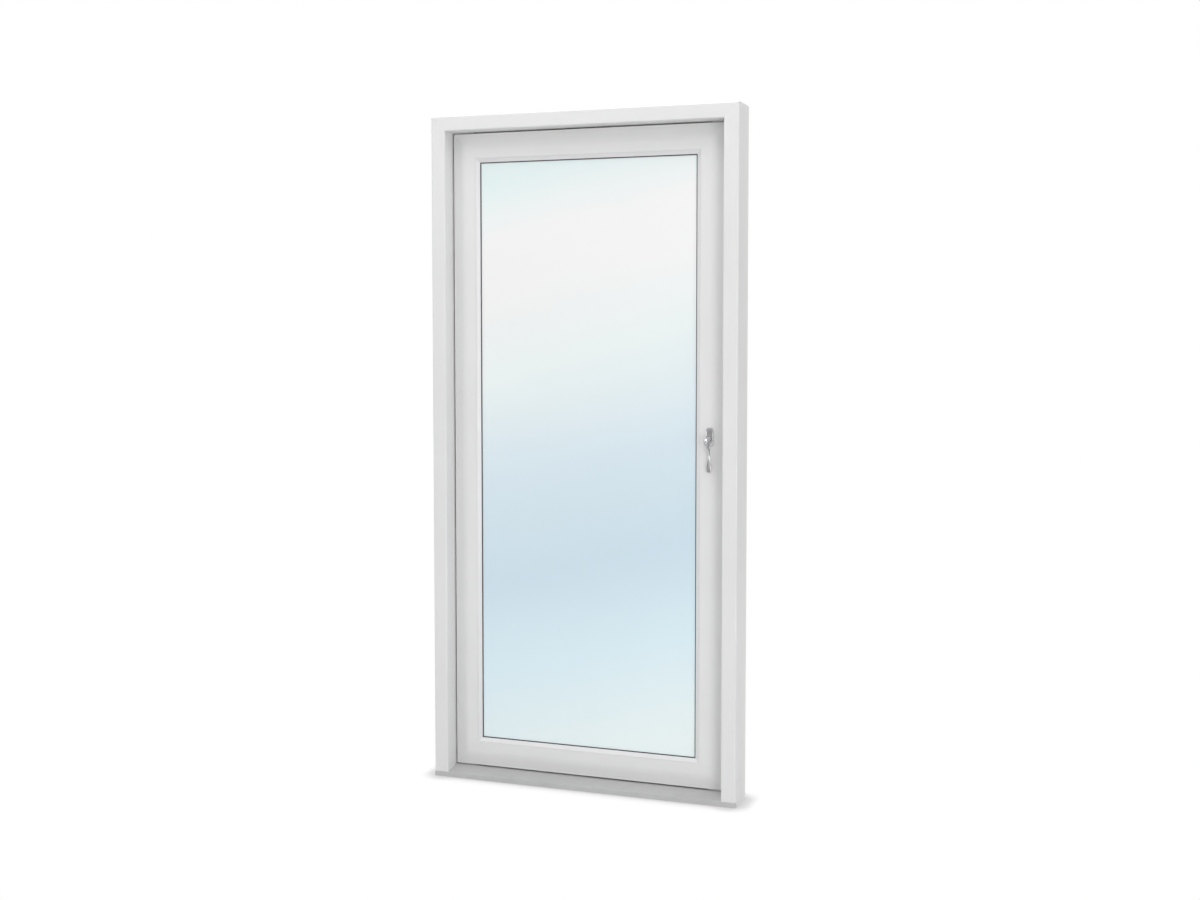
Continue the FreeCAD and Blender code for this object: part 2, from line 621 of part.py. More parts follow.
def clamp_screws():
    """Two long screws, headed on the inside, that clamp the two roses together through the stile."""
    back = value("%s + sash_back + rose_thick" % FRONT)
    length = value("sash_back + 2 * rose_thick - sash_face - clamp_short")
    shapes = []
    for z in ("handle_height + clamp_top", "handle_height - clamp_bottom"):
        spot = Vector(value(SPINDLE_X), back, value(z))
        shapes.append(screw(spot, Vector(0, -1, 0), length, value("clamp_radius"),
                            value("clamp_head"), value("screw_sink")))
    bundle = doc.addObject("Part::Feature", "clamp_screws")
    bundle.Shape = Part.makeCompound(shapes)
    bundle.Placement = FreeCAD.Placement()
    return bundle


rose_screws = clamp_screws()
strip_screws = screw_group("strip_screws", strip_spots, "screw_length", "screw_radius",
                           "screw_head", "screw_sink")
keep_node(carved(stile("right"), dowels, rod_groove, box_mortise, spindle_hole, rose_screws,
                 strip_screws), "sash_stile_right")
keep_node(dowels, "sash_dowels")
keep_node(sash_screws, "hinge_sash_screws")
keep_node(strip_screws, "faceplate_screws")
keep_node(rose_screws, "escutcheon_screws")


def faceplate():
    """Long strip on the edge of the lock stile, slotted for the locking pins."""
    strip = box(STRIP_X, "%s + strip_front" % FRONT, STRIP_LOW, "face_strip",
                "strip_back - strip_front", STRIP_LENGTH)
    slots = []
    reach = "(lock_radius + slot_play)"
    for low in ("%s - %s" % (UPPER_LOCK, reach), "%s - %s - travel" % (LOWER_LOCK, reach)):
        slots.append(box("%s - 1" % STRIP_X, "%s + rod_depth - lock_radius - slot_side" % FRONT, low,
                         "face_strip + 2", "2 * lock_radius + 2 * slot_side", "2 * %s + travel" % reach))
    return keep_node(carved(strip, strip_screws, *slots), "faceplate")


faceplate()


def gearbox():
    """Tray with three walls, open towards the strip, and a flat cover on its inner side."""
    x = "%s - box_end" % LOCK_EDGE
    z = "handle_height - box_half"
    length = "box_end - box_edge"
    tray_depth = "box_back - box_front - box_wall"
    tray = box(x, "%s + box_front" % FRONT, z, length, tray_depth, "2 * box_half")
    hollow = box("%s + box_wall" % x, "%s + box_front + box_wall" % FRONT, "%s + box_wall" % z,
                 length, "box_back", "2 * box_half - 2 * box_wall")
    hub = cylinder("y", SPINDLE_X, "%s + box_front - 1" % FRONT, SPINDLE_Z, "hub_fit",
                   "box_back - box_front + 2")
    keep_node(carved(tray, hollow, hub, rose_screws), "gearbox_case")
    lid = box(x, "%s + box_back - box_wall" % FRONT, z, length, "box_wall", "2 * box_half")
    keep_node(carved(lid, hub, rose_screws), "gearbox_cover")


gearbox()


# ---------------------------------------------------------------- pinion, racks and rods
PRESSURE_ANGLE = math.radians(20)
DEDENDUM = 1.25  # in modules
FLANK_STEPS = 5


def involute_flank(base, start, end, steps):
    """Points (radius, angle) along an involute of the base circle between two radii."""
    points = []
    for i in range(steps + 1):
        radius = start + (end - start) * i / steps
        roll = math.sqrt(max((radius / base) ** 2 - 1, 0))
        points.append((radius, roll - math.atan(roll)))
    return points


def pinion_shape():
    """Sixteen-tooth pinion with a square bore and a round hub at each end."""
    module, teeth = value("gear_module"), int(value("gear_teeth"))
    pitch = module * teeth / 2
    base = pitch * math.cos(PRESSURE_ANGLE)
    tip, root = pitch + module, pitch - DEDENDUM * module
    half_tooth = math.pi / (2 * teeth) - value("gear_play") / (2 * pitch)
    offset = half_tooth + math.tan(PRESSURE_ANGLE) - PRESSURE_ANGLE
    flank = involute_flank(base, base, tip, FLANK_STEPS)
    spots = []
    for tooth in range(teeth):
        # a gap, not a tooth, faces each rack at rest
        centre = (tooth + 0.5) * 2 * math.pi / teeth
        rising = [(root, centre - offset)] + [(r, centre - offset + a) for r, a in flank]
        falling = [(r, 2 * centre - angle) for r, angle in reversed(rising)]
        for radius, angle in rising + falling:
            spots.append(Vector(radius * math.cos(angle), 0, radius * math.sin(angle)))
    front, back = value("box_front"), value("box_back")
    inset = value("box_wall + gear_end_play")
    face = Part.Face(Part.makePolygon(spots + [spots[0]]))
    gear = face.extrude(Vector(0, back - front - 2 * inset, 0))
    gear.translate(Vector(0, inset, 0))
    hub = Part.makeCylinder(value("hub_radius"), back - front, Vector(0, 0, 0), Vector(0, 1, 0))
    side = value("spindle")
    bore = Part.makeBox(side, back - front, side, Vector(-side / 2, 0, -side / 2))
    return gear.fuse(hub).cut(bore).removeSplitter()


def rack_teeth(side, low, high):
    """Teeth that reach from the rack's body towards the pinion; side is +1 at the lock edge."""
    module = value("gear_module")
    spacing = math.pi * module
    slope = math.tan(PRESSURE_ANGLE)
    half = spacing / 4 - value("gear_play") / 2
    sunk = value("rack_root")
    depth = value("rod_width + rack_play")
    front = value("%s + rod_depth - (rod_width + rack_play) / 2" % FRONT)
    pitch_x = value(SPINDLE_X) + side * value(PITCH_RADIUS)
    root_x = pitch_x + side * DEDENDUM * module
    tip_x = pitch_x - side * module
    first = math.ceil(low / spacing)
    last = math.floor(high / spacing)
    teeth = []
    for number in range(first, last + 1):
        middle = value(SPINDLE_Z) + number * spacing
        wide = half + DEDENDUM * module * slope
        thin = half - module * slope
        corners = [(root_x + side * sunk, wide), (root_x, wide), (tip_x, thin), (tip_x, -thin),
                   (root_x, -wide), (root_x + side * sunk, -wide)]
        spots = [Vector(x, front, middle + z) for x, z in corners]
        teeth.append(Part.Face(Part.makePolygon(spots + [spots[0]])).extrude(Vector(0, depth, 0)))
    return teeth


def rod_shape(way):
    """Rack, leg to the edge, flat rod and end bolt; way is +1 for the upper rod."""
    side = -way
    spindle_z = value(SPINDLE_Z)
    front = value("%s + rod_depth - (rod_width + rack_play) / 2" % FRONT)
    depth = value("rod_width + rack_play")
    leg_low, leg_high = value("leg_start"), value("leg_start + leg_height")
    rack_low = -value("rack_long") if way > 0 else -leg_high
    rack_high = leg_high if way > 0 else value("rack_long")
    root_x = value(SPINDLE_X) + side * (value(PITCH_RADIUS) + DEDENDUM * value("gear_module"))
    far_x = root_x + side * value("rack_body")
    rod_x = value("%s - rod_edge - rod_thick" % LOCK_EDGE)
    rod_far = value("%s - rod_edge" % LOCK_EDGE)

    def block(x1, x2, z1, z2, y=front, wide=depth):
        x1, x2 = min(x1, x2), max(x1, x2)
        z1, z2 = min(z1, z2), max(z1, z2)
        return Part.makeBox(x2 - x1, wide, z2 - z1, Vector(x1, y, z1))

    rack = block(root_x, far_x, spindle_z + rack_low, spindle_z + rack_high)
    near_x = min(root_x, far_x)
    leg = block(near_x, rod_far, spindle_z + way * leg_low, spindle_z + way * leg_high)
    sash_end = value("%s - bolt_rest" % SASH_HIGH) if way > 0 else value("%s + bolt_rest" % SASH_LOW)
    rod_front = value("%s + rod_depth - rod_width / 2" % FRONT)
    rod = block(rod_x, rod_far, spindle_z + way * leg_low, sash_end - way * value("rod_stop"), rod_front,
                value("rod_width"))
    bolt_reach = value("bolt_length")
    start = sash_end + way * value("bolt_rest") - (bolt_reach if way > 0 else 0)
    bolt = Part.makeCylinder(value("bolt_radius"), bolt_reach,
                             Vector(value(BOLT_X), value(BOLT_Y), start), Vector(0, 0, 1))
    short, long, end = value("rack_short"), value("rack_long"), value("rack_end")
    low, high = (-long, short) if way > 0 else (-short, long)
    shape = rack.multiFuse([leg, rod, bolt] + rack_teeth(side, low + end, high - end))
    half = value("slot_half")
    for place_z in STRIP_SCREWS_HIGH if way > 0 else STRIP_SCREWS_LOW:
        # the strip's screws stay still in a slot as long as the rod's travel
        near_z = value(place_z) + way * half
        far_z = value(place_z) - way * (half + value("travel"))
        slot_y = value("%s + rod_depth" % FRONT) - half
        shape = shape.cut(block(rod_x - 1, rod_far + 1, near_z, far_z, slot_y, 2 * half))
    return shape.removeSplitter()


def solid_feature(shape, name):
    """Sub-part whose shape is worked out above from the sheet's sizes."""
    feature = doc.addObject("Part::Feature", name)
    feature.Shape = shape
    feature.Placement = FreeCAD.Placement()
    return feature


def locking_pin(way):
    """Locking pin fixed on its rod, standing out of the strip's slot."""
    z = UPPER_LOCK if way > 0 else LOWER_LOCK
    start = "%s - rod_edge" % LOCK_EDGE
    reach = "rod_edge - lock_reach"
    return cylinder("x", start, "%s + rod_depth" % FRONT, z, "lock_radius", reach)


pinion = solid_feature(pinion_shape(), "pinion_gear")
keep_node(place(pinion, SPINDLE_X, "%s + box_front" % FRONT, SPINDLE_Z), "pinion")
keep_node(solid_feature(rod_shape(1), "rod_bar_upper"), "rod_upper")
keep_node(solid_feature(rod_shape(-1), "rod_bar_lower"), "rod_lower")
keep_node(locking_pin(1), "locking_pin_upper")
keep_node(locking_pin(-1), "locking_pin_lower")

# ---------------------------------------------------------------- sash aluminium skin and beads
SASH_SKIN = [("0", "timber_front"), ("0", "lip_face"), ("lip_width", "lip_face"),
             ("slope_end", "sash_face"), ("skin_edge", "sash_face"), ("skin_edge", "skin_back"),
             ("rebate_edge", "skin_back"), ("rebate_edge", "sash_face + skin"),
             ("slope_end + slope_play", "sash_face + skin"), ("lip_width + slope_play", "timber_front")]
BEAD = [("bead_edge", "bead_front"), ("bead_edge + bead_flat", "bead_front"),
        ("bead_edge + bead_width", "bead_front + bead_fall"),
        ("bead_edge + bead_width", "glass_front - gasket_height"),
        ("bead_edge + bead_width - bead_heel", "glass_front - gasket_height"),
        ("bead_edge + bead_leg", "bead_step"),
        ("bead_edge + bead_leg", "bead_foot"), ("bead_edge", "bead_foot")]


def mitred_bar(name, section, side, reach, softened=None):
    """Bar along one side of the sash, cut at 45 degrees at both ends."""
    turn = flipped if side == "right" else list
    length = SASH_HEIGHT if side in ("left", "right") else SASH_WIDTH
    body = padded(name + "_bar", "XY_Plane", [turn(section)], length)
    if softened:
        rounded(body, turn([softened]), "slope_round")
    pocketed(body, "XZ_Plane", [turn(points) for points in mitres(reach, length)])
    return set_side(body, side, LIP, SASH_LOW, SASH_HIGH)


for side in ("left", "right", "top", "bottom"):
    skin = mitred_bar("sash_skin_" + side, SASH_SKIN, side, "skin_edge + 1", ("slope_end", "sash_face"))
    if side == "right":
        skin = carved(skin, spindle_hole, rose_screws)
    keep_node(skin, "sash_cladding_" + side)
for side in ("left", "right", "top", "bottom"):
    bead = mitred_bar("bead_" + side, BEAD, side, "bead_edge + bead_width + 1")
    keep_node(bead, "bead_" + side)

# ---------------------------------------------------------------- glazing unit and seals
UNIT_DEPTH = "(3 * pane + 2 * cavity)"


def pane_plate(name, front):
    """One sheet of glass."""
    width = "(%s - 2 * glass_edge)" % SASH_WIDTH
    height = "(%s - 2 * glass_edge)" % SASH_HEIGHT
    return keep_node(box("-%s / 2" % width, "%s + %s" % (FRONT, front), "%s + glass_edge" % SASH_LOW,
                         width, "pane", height), name)


pane_plate("glass_outer", "glass_front")
pane_plate("glass_middle", "glass_front + pane + cavity")
pane_plate("glass_inner", "glass_front + 2 * pane + 2 * cavity")
CAVITY_FRONTS = {"outer": "glass_front + pane", "inner": "glass_front + 2 * pane + cavity"}
for which, front in CAVITY_FRONTS.items():
    frame_ring = ring("spacer_ring_" + which, "spacer_out", "spacer_in", front, "cavity")
    keep_node(frame_ring, "spacer_" + which)
seal_rings = [ring("edge_seal_" + which, "glass_edge", "spacer_out", front, "cavity")
              for which, front in CAVITY_FRONTS.items()]
keep_node(group(*seal_rings), "edge_seal")
keep_node(ring("gasket_ring", "gasket_start", "gasket_edge",
               "glass_front - gasket_height", "gasket_height"), "glazing_gasket")
keep_node(ring("tape_ring", "tape_out", "tape_in", "glass_front + %s" % UNIT_DEPTH,
               "lip_back - glass_front - %s" % UNIT_DEPTH), "glazing_tape")
keep_node(ring("seal_ring", "seal_out", "seal_in", "seal_back", "seal_reach - seal_back"), "sash_seal")


def setting_blocks():
    """Blocks that carry and centre the glazing unit: two on each side."""
    depth = "glass_front + %s - timber_front" % UNIT_DEPTH
    y = "%s + timber_front" % FRONT
    thick = "glass_edge - rebate_edge"
    blocks = []
    for sign in ("-1", "1"):
        x = "%s * block_place - block_length / 2" % sign
        for z in ("%s + rebate_edge" % SASH_LOW, "%s - glass_edge" % SASH_HIGH):
            blocks.append(box(x, y, z, "block_length", depth, thick))
        z = "%s + %s / 2 + %s * block_rise" % (SASH_LOW, SASH_HEIGHT, sign)
        for x in ("%s + %s + rebate_edge" % (LEFT, LIP), "%s - %s - glass_edge" % (RIGHT, LIP)):
            blocks.append(box(x, y, z, thick, depth, "block_length"))
    return keep_node(group(*blocks), "setting_blocks")


setting_blocks()


# ---------------------------------------------------------------- handle set
def rose(name, front):
    """Stadium-shaped plate that covers the handle's hole, with its corners rounded over."""
    radius = "rose_width / 2"
    straight = "(rose_length - rose_width)"
    middle = box("%s - %s" % (SPINDLE_X, radius), front, "rose_height - %s / 2" % straight,
                 "rose_width", "rose_thick", straight)
    top = cylinder("y", SPINDLE_X, front, "rose_height + %s / 2" % straight, radius, "rose_thick")
    low = cylinder("y", SPINDLE_X, front, "rose_height - %s / 2" % straight, radius, "rose_thick")
    neck = cylinder("y", SPINDLE_X, front, SPINDLE_Z, "neck_fit", "rose_thick")
    return keep_node(carved(fused(middle, top, low), neck, rose_screws), name)


rose("escutcheon_outer", "%s + sash_face - rose_thick" % FRONT)
rose("escutcheon_inner", "%s + sash_back" % FRONT)

# lever sections: reach out from the sash, drop below the spindle, lean of the path from straight
# out (0) to straight down (90) and back towards the sash (over 90), half width, half thickness
LEVER_PATH = [(12, 0, 0, 7.0, 7.0), (33, 0, 0, 6.6, 6.0), (41.5, 0.2, 8, 6.4, 5.0),
              (46.4, 2.5, 52, 6.4, 4.9), (47.7, 7.2, 102, 6.3, 4.8), (44.8, 11.6, 146, 6.1, 4.7),
              (32.5, 19.7, 146, 5.6, 4.5), (22.5, 26.7, 140, 5.0, 4.4), (16, 34, 120, 4.4, 4.5),
              (13, 44, 100, 4.1, 4.6), (12.2, 58, 92, 4.2, 4.4), (12, 78, 90, 5.8, 3.5),
              (12, 94, 90, 7.4, 3.0), (12, 101.5, 90, 6.6, 2.4)]


OVAL_POINTS = 12


def lever_shape(way):
    """Cranked lever: way is -1 outside and +1 inside."""
    face = value("%s + sash_face" % FRONT) if way < 0 else value("%s + sash_back" % FRONT)
    centre_x, centre_z = value(SPINDLE_X), value(SPINDLE_Z)
    wires = []
    for out, drop, lean, half_width, half_thick in LEVER_PATH:
        angle = math.radians(lean)
        tangent = Vector(0, way * math.cos(angle), -math.sin(angle))
        spot = Vector(centre_x, face + way * out, centre_z - drop)
        across = Vector(1, 0, 0)
        other = tangent.cross(across)
        turns = [2 * math.pi * k / OVAL_POINTS for k in range(OVAL_POINTS)]
        points = [spot + across * half_width * math.cos(turn) + other * half_thick * math.sin(turn)
                  for turn in turns]
        curve = Part.BSplineCurve()
        curve.interpolate(points, PeriodicFlag=True)
        wires.append(Part.Wire(curve.toShape()))
    arm = Part.makeLoft(wires, True, True)
    neck_start = face + way * value("neck_start")
    neck = Part.makeCylinder(value("neck_radius"), value("neck_end - neck_start"),
                             Vector(centre_x, neck_start, centre_z), Vector(0, way, 0))
    shape = neck.fuse(arm)
    side = value("spindle")
    spindle_y = value("%s + spindle_start" % FRONT)
    spindle_length = value("spindle_end - spindle_start")
    bore = Part.makeBox(side, spindle_length, side,
                        Vector(centre_x - side / 2, spindle_y, centre_z - side / 2))
    hole = grub_solid(way)
    return shape.cut(bore).cut(hole)


def grub_solid(way):
    """Grub screw from under the neck up to the spindle."""
    face = value("%s + sash_face" % FRONT) if way < 0 else value("%s + sash_back" % FRONT)
    low = value("handle_height - neck_radius + grub_sink")
    high = value("handle_height - spindle / 2")
    return Part.makeCylinder(value("grub_radius"), high - low,
                             Vector(value(SPINDLE_X), face + way * value("grub_out"), low),
                             Vector(0, 0, 1))


keep_node(solid_feature(lever_shape(-1), "lever_out"), "lever_outer")
keep_node(solid_feature(lever_shape(1), "lever_in"), "lever_inner")
keep_node(solid_feature(Part.makeCompound([grub_solid(-1), grub_solid(1)]), "grubs"), "grub_screws")
keep_node(box("%s - spindle / 2" % SPINDLE_X, "%s + spindle_start" % FRONT,
              "handle_height - spindle / 2", "spindle", "spindle_end - spindle_start", "spindle"),
          "spindle")

# ---------------------------------------------------------------- check and write
doc.recompute()
faults = [thing.Label for thing in doc.Objects if {"Invalid", "Error"} & set(thing.State)]
for thing in nodes:
    if thing.Shape.isNull() or not thing.Shape.isValid() or not thing.Shape.Solids:
        faults.append(thing.Label + " has no valid shape")
if faults:
    raise RuntimeError("failed: " + ", ".join(faults))

os.makedirs("parts", exist_ok=True)
for thing in nodes:
    thing.Shape.exportStep("parts/%s.step" % thing.Label)
print(len(nodes), "sub-parts written")
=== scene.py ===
import json
import math
import bmesh
import bpy
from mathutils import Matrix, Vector


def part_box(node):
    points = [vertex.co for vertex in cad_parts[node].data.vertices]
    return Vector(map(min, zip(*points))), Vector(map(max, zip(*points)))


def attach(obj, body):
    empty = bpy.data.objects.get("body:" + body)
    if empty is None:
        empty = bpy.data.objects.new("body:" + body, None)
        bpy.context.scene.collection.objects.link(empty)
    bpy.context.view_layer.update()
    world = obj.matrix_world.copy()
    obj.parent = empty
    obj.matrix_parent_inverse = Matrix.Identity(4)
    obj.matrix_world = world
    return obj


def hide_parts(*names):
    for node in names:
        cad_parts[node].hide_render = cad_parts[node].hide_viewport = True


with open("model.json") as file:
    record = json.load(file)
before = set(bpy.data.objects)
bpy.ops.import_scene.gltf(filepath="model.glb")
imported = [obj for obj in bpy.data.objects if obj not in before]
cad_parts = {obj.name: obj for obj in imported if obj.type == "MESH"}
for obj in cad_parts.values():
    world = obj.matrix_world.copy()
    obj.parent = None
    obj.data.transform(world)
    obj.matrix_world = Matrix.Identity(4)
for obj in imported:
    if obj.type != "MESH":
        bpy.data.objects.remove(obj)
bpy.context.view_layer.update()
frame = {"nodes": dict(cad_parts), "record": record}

NODES = frame["nodes"]
MM = 0.001

# ---------------------------------------------------------------- places taken from the frame
FRAME_LOW = Vector(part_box("jamb_cladding_left")[0])
GLASS_LOW, GLASS_HIGH = (Vector(corner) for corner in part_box("glass_outer"))


# ---------------------------------------------------------------- node helpers
ROUNDING_SAMPLES, WEAR_SAMPLES = 6, 4
# how far the rounded normal must turn from the flat one (as a cosine) for wear to start and be full
WEAR_STARTS, WEAR_FULL = 0.995, 0.85


def link(tree, source, target):
    """Join two sockets."""
    tree.links.new(source, target)


def new_material(name, color, roughness, metallic=0.0):
    """Principled material with its plain numbers on the shader's own sockets."""
    material = bpy.data.materials.new(name)
    material.use_nodes = True
    shader = material.node_tree.nodes["Principled BSDF"]
    shader.inputs["Base Color"].default_value = (*color, 1)
    shader.inputs["Roughness"].default_value = roughness
    shader.inputs["Metallic"].default_value = metallic
    return material, material.node_tree, shader


def object_coordinates(tree, scale=(1, 1, 1), offset=(0, 0, 0)):
    """Object coordinates, in metres, stretched by a scale per axis."""
    place = tree.nodes.new("ShaderNodeTexCoord")
    mapping = tree.nodes.new("ShaderNodeMapping")
    mapping.inputs["Scale"].default_value = scale
    mapping.inputs["Location"].default_value = offset
    link(tree, place.outputs["Object"], mapping.inputs["Vector"])
    return mapping.outputs["Vector"]


def noise(tree, vector, scale, detail, rough=0.55):
    """Noise factor."""
    node = tree.nodes.new("ShaderNodeTexNoise")
    node.inputs["Scale"].default_value = scale
    node.inputs["Detail"].default_value = detail
    node.inputs["Roughness"].default_value = rough
    link(tree, vector, node.inputs["Vector"])
    return node.outputs["Fac"]


def math_node(tree, kind, first, second):
    """Math node; each input is a socket or a number."""
    node = tree.nodes.new("ShaderNodeMath")
    node.operation = kind
    for value, socket in ((first, node.inputs[0]), (second, node.inputs[1])):
        if isinstance(value, bpy.types.NodeSocket):
            link(tree, value, socket)
        else:
            socket.default_value = value
    return node.outputs[0]


def spread(tree, factor, low, high, first, second):
    """Map a factor's range low..high onto first..second, clamped."""
    node = tree.nodes.new("ShaderNodeMapRange")
    node.inputs["From Min"].default_value = low
    node.inputs["From Max"].default_value = high
    node.inputs["To Min"].default_value = first
    node.inputs["To Max"].default_value = second
    link(tree, factor, node.inputs["Value"])
    return node.outputs["Result"]


def ramp(tree, factor, stops):
    """Colour ramp through (position, colour) stops; a colour is three numbers or one grey."""
    node = tree.nodes.new("ShaderNodeValToRGB")
    elements = node.color_ramp.elements
    while len(elements) < len(stops):
        elements.new(0.5)
    for element, (position, color) in zip(elements, stops):
        element.position = position
        grey = isinstance(color, (int, float))
        element.color = (color, color, color, 1) if grey else (*color, 1)
    link(tree, factor, node.inputs["Fac"])
    return node.outputs["Color"]


def mix(tree, factor, first, second):
    """Blend of two colours, each a socket or three numbers, by a factor that is a socket or a number."""
    node = tree.nodes.new("ShaderNodeMix")
    node.data_type = "RGBA"
    for value, socket in ((factor, node.inputs[0]), (first, node.inputs[6]), (second, node.inputs[7])):
        if isinstance(value, bpy.types.NodeSocket):
            link(tree, value, socket)
        elif isinstance(value, (int, float)):
            socket.default_value = value
        else:
            socket.default_value = (*value, 1)
    return node.outputs[2]


def eased_normal(tree, radius):
    """Normal that rounds the edges of the shading by a radius in metres."""
    rounded = tree.nodes.new("ShaderNodeBevel")
    rounded.samples = ROUNDING_SAMPLES
    rounded.inputs["Radius"].default_value = radius
    return rounded.outputs["Normal"]


def bump(tree, shader, *layers, normal=None):
    """Feed layers of height (socket, strength, distance) to the shader's normal."""
    for height, strength, distance in layers:
        node = tree.nodes.new("ShaderNodeBump")
        node.inputs["Strength"].default_value = strength
        node.inputs["Distance"].default_value = distance
        link(tree, height, node.inputs["Height"])
        if normal:
            link(tree, normal, node.inputs["Normal"])
        normal = node.outputs["Normal"]
    link(tree, normal, shader.inputs["Normal"])


def edges(tree, radius):
    """Mask that is 1 on convex and concave edges and 0 on open faces."""
    rounded = tree.nodes.new("ShaderNodeBevel")
    rounded.samples = WEAR_SAMPLES
    rounded.inputs["Radius"].default_value = radius
    flat = tree.nodes.new("ShaderNodeNewGeometry")
    compare = tree.nodes.new("ShaderNodeVectorMath")
    compare.operation = "DOT_PRODUCT"
    link(tree, rounded.outputs["Normal"], compare.inputs[0])
    link(tree, flat.outputs["Normal"], compare.inputs[1])
    return spread(tree, compare.outputs["Value"], WEAR_STARTS, WEAR_FULL, 0, 1)


def height_above_floor(tree):
    """Z of the object coordinates."""
    place = tree.nodes.new("ShaderNodeTexCoord")
    split = tree.nodes.new("ShaderNodeSeparateXYZ")
    link(tree, place.outputs["Object"], split.inputs["Vector"])
    return split.outputs["Z"]


def tinted(color, share):
    """The colour, made darker or lighter by a share."""
    return tuple(channel * share for channel in color)


# ---------------------------------------------------------------- materials
# Scales of noise, or of the coordinates under it, count features per metre.
# metres above the floor where the painted shade and the dusty gloss low down end, how much of the painted
# shade shows, and the tones of the painted shade and under worn finishes
SHADE_AND_DUST_TOP = 0.55
PAINTED_SHADE_SHARE = 0.35
PAINTED_SHADE_TONE = (0.69, 0.685, 0.675)
BARE_PINE = (0.62, 0.58, 0.51)
PASSIVATED = (0.62, 0.60, 0.50)


def powder_coat(name, color, roughness=0.36):
    """White powder coat on aluminium: orange peel, cloudy tone, painted shade darker towards the floor with
    a dusty gloss there, rubbed edges.
    """
    material, tree, shader = new_material(name, color, roughness)
    everywhere = object_coordinates(tree)
    cloud = noise(tree, everywhere, 2.3, 4)
    tone = mix(tree, spread(tree, cloud, 0.3, 0.7, 0, 1), tinted(color, 0.975), tinted(color, 1.01))
    speck = noise(tree, everywhere, 900, 2)
    tone = mix(tree, spread(tree, speck, 0.60, 0.75, 0, 0.35), tone, tinted(color, 0.93))
    # painted shade: the coat is darkened in patches towards the floor below the top height, and the same
    # mask roughens the gloss there as dust
    low_down = spread(tree, height_above_floor(tree), SHADE_AND_DUST_TOP, 0, 0, 1)
    patchy = spread(tree, noise(tree, everywhere, 14, 5), 0.3, 0.7, 0.5, 1)
    low_shade_and_dust = math_node(tree, "MULTIPLY", low_down, patchy)
    tone = mix(tree, math_node(tree, "MULTIPLY", low_shade_and_dust, PAINTED_SHADE_SHARE), tone, PAINTED_SHADE_TONE)
    scuffs = spread(tree, noise(tree, everywhere, 60, 4), 0.4, 0.65, 0, 0.5)
    rub = math_node(tree, "MULTIPLY", edges(tree, 1.5 * MM), scuffs)
    tone = mix(tree, rub, tone, tinted(color, 0.86))
    link(tree, tone, shader.inputs["Base Color"])
    smear = noise(tree, everywhere, 7, 4)
    gloss = spread(tree, smear, 0.3, 0.7, roughness - 0.05, roughness + 0.08)
    gloss = math_node(tree, "ADD", gloss, math_node(tree, "MULTIPLY", low_shade_and_dust, 0.14))
    link(tree, gloss, shader.inputs["Roughness"])
    peel = noise(tree, everywhere, 650, 2, 0.4)
    bump(tree, shader, (peel, 0.16, 0.12 * MM), (speck, 0.10, 0.06 * MM),
         normal=eased_normal(tree, 0.8 * MM))
    return material


def painted_timber(name, color, along):
    """Satin white paint over planed pine, with the grain and the brush marks along one axis."""
    material, tree, shader = new_material(name, color, 0.42)
    stretched = [170, 170, 170]
    stretched[along] = 4
    grain = noise(tree, object_coordinates(tree, tuple(stretched)), 1, 5, 0.6)
    wide = [26, 26, 26]
    wide[along] = 1.2
    figure = noise(tree, object_coordinates(tree, tuple(wide)), 1, 3)
    brush = [900, 900, 900]
    brush[along] = 9
    marks = noise(tree, object_coordinates(tree, tuple(brush)), 1, 2)
    tone = mix(tree, spread(tree, figure, 0.35, 0.65, 0, 1), tinted(color, 0.965), tinted(color, 1.01))
    tone = mix(tree, spread(tree, grain, 0.62, 0.78, 0, 0.4), tone, tinted(color, 0.90))
    everywhere = object_coordinates(tree)
    chips = spread(tree, noise(tree, everywhere, 45, 4), 0.42, 0.68, 0, 0.6)
    wear = math_node(tree, "MULTIPLY", edges(tree, 2.5 * MM), chips)
    tone = mix(tree, wear, tone, BARE_PINE)
    link(tree, tone, shader.inputs["Base Color"])
    link(tree, spread(tree, figure, 0.3, 0.7, 0.36, 0.50), shader.inputs["Roughness"])
    bump(tree, shader, (grain, 0.30, 0.35 * MM), (marks, 0.22, 0.12 * MM))
    return material


def anodised(name, color, roughness, along, strength, metallic=1.0):
    """Natural anodised aluminium with fine drawn lines along one axis, and a painted highlight along its
    edges.
    """
    material, tree, shader = new_material(name, color, roughness, metallic)
    drawn = [1100, 1100, 1100]
    drawn[along] = 6
    lines = noise(tree, object_coordinates(tree, tuple(drawn)), 1, 3)
    everywhere = object_coordinates(tree)
    cloud = noise(tree, everywhere, 6, 4)
    tone = mix(tree, spread(tree, cloud, 0.3, 0.7, 0, 1), tinted(color, 0.94), tinted(color, 1.03))
    tone = mix(tree, spread(tree, lines, 0.3, 0.7, 0, 0.5), tone, tinted(color, 0.88))
    # painted highlight: the edges are made lighter in colour, in patches
    painted_edge_highlight = math_node(tree, "MULTIPLY", edges(tree, 1.2 * MM), spread(tree, cloud, 0.4, 0.6, 0.3, 0.9))
    tone = mix(tree, painted_edge_highlight, tone, tinted(color, 1.18))
    link(tree, tone, shader.inputs["Base Color"])
    smear = noise(tree, everywhere, 30, 4)
    gloss = spread(tree, smear, 0.3, 0.7, roughness - 0.06, roughness + 0.08)
    link(tree, gloss, shader.inputs["Roughness"])
    bump(tree, shader, (lines, strength, 0.08 * MM))
    return material


